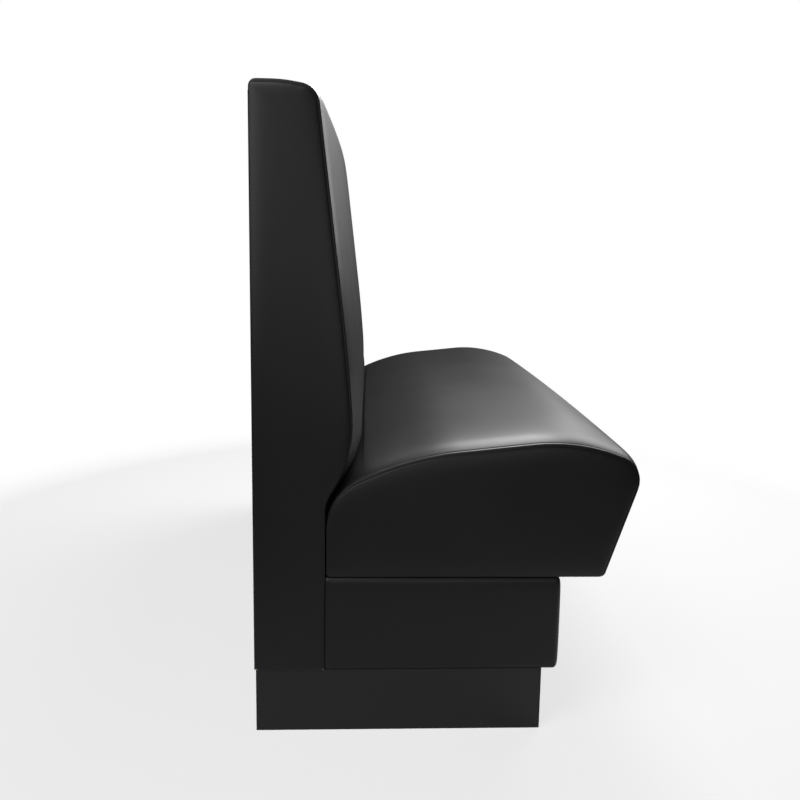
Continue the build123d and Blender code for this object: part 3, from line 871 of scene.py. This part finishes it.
# %% Black vinyl
vinyl_finish = Finish("black_vinyl", (0.0085, 0.0085, 0.0088), 0.42, specular=0.4)
cells = vinyl_finish.node("ShaderNodeTexVoronoi", {"feature": "SMOOTH_F1"},
                          {"Vector": vinyl_finish.place(), "Scale": 900, "Smoothness": 0.6})
grain = cells * 0.7 + vinyl_finish.noise(1700, 3) * 0.3
vinyl_finish.bump(grain, 0.22, 0.12 * mm)
rubbed = vinyl_finish.noise(6, 3)
vinyl_finish.feed("Roughness", rubbed * 0.1 + 0.37)
vinyl_finish.blend(rubbed, (0.0075, 0.0075, 0.0078), (0.0105, 0.0105, 0.0108))

# %% [markdown]
# ### Thread, laminate and what is under the covers
#
# The thread is dull polyester. The plinth has a black laminate with a faint speckle. Plywood shows
# along its grain, zinc is bright and a little clouded, and the felt, the dust cloth and the nylon feet
# are matte. Each is a plain colour with one pattern, because they are small or out of sight.

# %% Other finishes
thread_finish = Finish("black_thread", (0.012, 0.012, 0.012), 0.65)
thread_finish.bump(thread_finish.noise(2500, 2), 0.3, 0.1 * mm)

laminate = Finish("black_laminate", (0.012, 0.012, 0.013), 0.4)
speckle = laminate.noise(700, 2)
laminate.blend(speckle, (0.009, 0.009, 0.01), (0.018, 0.018, 0.019))
laminate.bump(speckle, 0.15, 0.08 * mm)

plywood = Finish("plywood", (0.56, 0.4, 0.24), 0.62)
fibres = plywood.noise(28, 6, stretch=(0.12, 1, 1))
plywood.blend(fibres, (0.42, 0.28, 0.15), (0.66, 0.5, 0.32))
plywood.bump(fibres, 0.2, 0.3 * mm)

zinc = Finish("zinc_steel", (0.62, 0.63, 0.65), 0.34, metallic=1)
zinc.feed("Roughness", zinc.noise(120, 3) * 0.2 + 0.25)

felt = Finish("felt", (0.33, 0.31, 0.28), 0.95)
tufts = felt.noise(400, 4)
felt.blend(tufts, (0.22, 0.2, 0.18), (0.46, 0.44, 0.4))
felt.bump(tufts, 0.5, 0.6 * mm)

cloth_finish = Finish("black_cloth", (0.02, 0.02, 0.02), 0.9)
cloth_finish.bump(cloth_finish.noise(900, 3), 0.5, 0.2 * mm)

nylon = Finish("black_nylon", (0.02, 0.02, 0.02), 0.5)
nylon.bump(nylon.noise(500, 2), 0.15, 0.1 * mm)

foam = Finish("foam", (0.7, 0.66, 0.5), 0.95)
foam.bump(foam.noise(500, 3), 0.6, 0.5 * mm)

finishes = {"black_vinyl": vinyl_finish, "black_laminate": laminate, "plywood": plywood, "zinc_steel": zinc,
            "felt": felt, "black_cloth": cloth_finish, "black_nylon": nylon, "foam": foam}


def cover(piece, finish):
    """Gives a piece one material."""
    piece.data.materials.clear()
    piece.data.materials.append(finish.material)


for part in frame["record"]["subparts"]:
    cover(frame["nodes"][part["node"]], finishes[part["material_slot"]])
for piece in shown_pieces():
    if piece.name.endswith("topstitching"):
        cover(piece, thread_finish)
    elif piece.get("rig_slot") == "black_vinyl":
        cover(piece, vinyl_finish)
print(len(finishes) + 1, "finishes")

# %% [markdown]
# ## Studio
#
# The photograph has a white ground with no edge. A bright lamp above the far half gives the long sheen
# on the seat's near edge, a bigger and dimmer one in front reaches the nose, and a faint one beyond the
# far end fills the seat. Behind the camera one faint lamp and two stronger ones at the rear just lift
# the near end out of black. The white behind the booth is only for the camera: the world that lights
# the booth is a dark grey.

# %% Light and background
middle = Vector((0, -0.15, 0.6))


def softbox(name, centre, size, brightness):
    """A square lamp aimed at the booth's middle, whose power follows from how bright its face is."""
    lamp = bpy.data.lights.new(name, "AREA")
    lamp.shape = "RECTANGLE"
    lamp.size = lamp.size_y = size
    lamp.energy = brightness * math.pi * size * size
    holder = bpy.data.objects.new(name, lamp)
    scene.collection.objects.link(holder)
    holder.location = centre
    holder.rotation_euler = (middle - Vector(centre)).to_track_quat("-Z", "Y").to_euler()
    holder.visible_camera = False


softbox("overhead", (0.8, -0.3, 1.9), 0.7, 17)
softbox("front", (1.3, -1.3, 1.5), 1.2, 3.6)
softbox("far_end", (2.51, -1.32, 2.2), 1.1, 0.7)
softbox("camera_side", (-2.59, -0.15, 0.83), 1.1, 0.9)
softbox("rear_low", (-2.06, 1.29, 1.27), 1.1, 2.2)
softbox("rear_high", (-1.51, 0.905, 2.44), 1.1, 4.2)

world = bpy.data.worlds.new("studio")
scene.world = world
world.use_nodes = True
sky = world.node_tree
sky.nodes.clear()
paths = sky.nodes.new("ShaderNodeLightPath")
plain = sky.nodes.new("ShaderNodeBackground")
plain.inputs["Color"].default_value = (0.06, 0.06, 0.06, 1)
white = sky.nodes.new("ShaderNodeBackground")
white.inputs["Color"].default_value = (1, 1, 1, 1)
choose = sky.nodes.new("ShaderNodeMixShader")
result = sky.nodes.new("ShaderNodeOutputWorld")
sky.links.new(paths.outputs["Is Camera Ray"], choose.inputs["Fac"])
sky.links.new(plain.outputs["Background"], choose.inputs[1])
sky.links.new(white.outputs["Background"], choose.inputs[2])
sky.links.new(choose.outputs["Shader"], result.inputs["Surface"])

# %% [markdown]
# The floor is a pale disc that keeps the shadow under the plinth. Towards its rim it turns into the
# white of the background, so that no horizon shows. Everywhere else the camera sees it mostly blended
# with that white, so that the shadow stays light.

# %% Floor
floor_radius = 6
fade_start, fade_end = 0.8, 1.7
white_share = 0.72

bpy.ops.object.select_all(action="DESELECT")
bpy.ops.mesh.primitive_circle_add(vertices=96, radius=floor_radius, fill_type="NGON", location=(0, 0, 0))
floor = bpy.context.active_object
floor.name = "floor"
ground = Finish("floor", (0.93, 0.93, 0.93), 0.9, specular=0)
away = ground.node("ShaderNodeVectorMath", {"operation": "LENGTH"}, {0: ground.place()}, output=1)
faded = ground.node("ShaderNodeMapRange", {"interpolation_type": "SMOOTHSTEP"},
                    {"Value": away, "From Min": fade_start, "From Max": fade_end})
seen = ground.node("ShaderNodeLightPath") * white_share
blank = ground.tree.nodes.new("ShaderNodeBsdfTransparent")
blend_out = ground.tree.nodes.new("ShaderNodeMixShader")
ground.tree.links.new(faded.maths("MAXIMUM", seen).socket, blend_out.inputs["Fac"])
ground.tree.links.new(ground.shader.outputs["BSDF"], blend_out.inputs[1])
ground.tree.links.new(blank.outputs["BSDF"], blend_out.inputs[2])
ground.tree.links.new(blend_out.outputs["Shader"], ground.tree.nodes["Material Output"].inputs["Surface"])
cover(floor, ground)
print("floor fades from", fade_start, "to", fade_end, "m")

# %% [markdown]
# ## View transform
#
# The render shows the scene's colours through the Standard view transform.

# %% Finish
scene.view_settings.view_transform = "Standard"
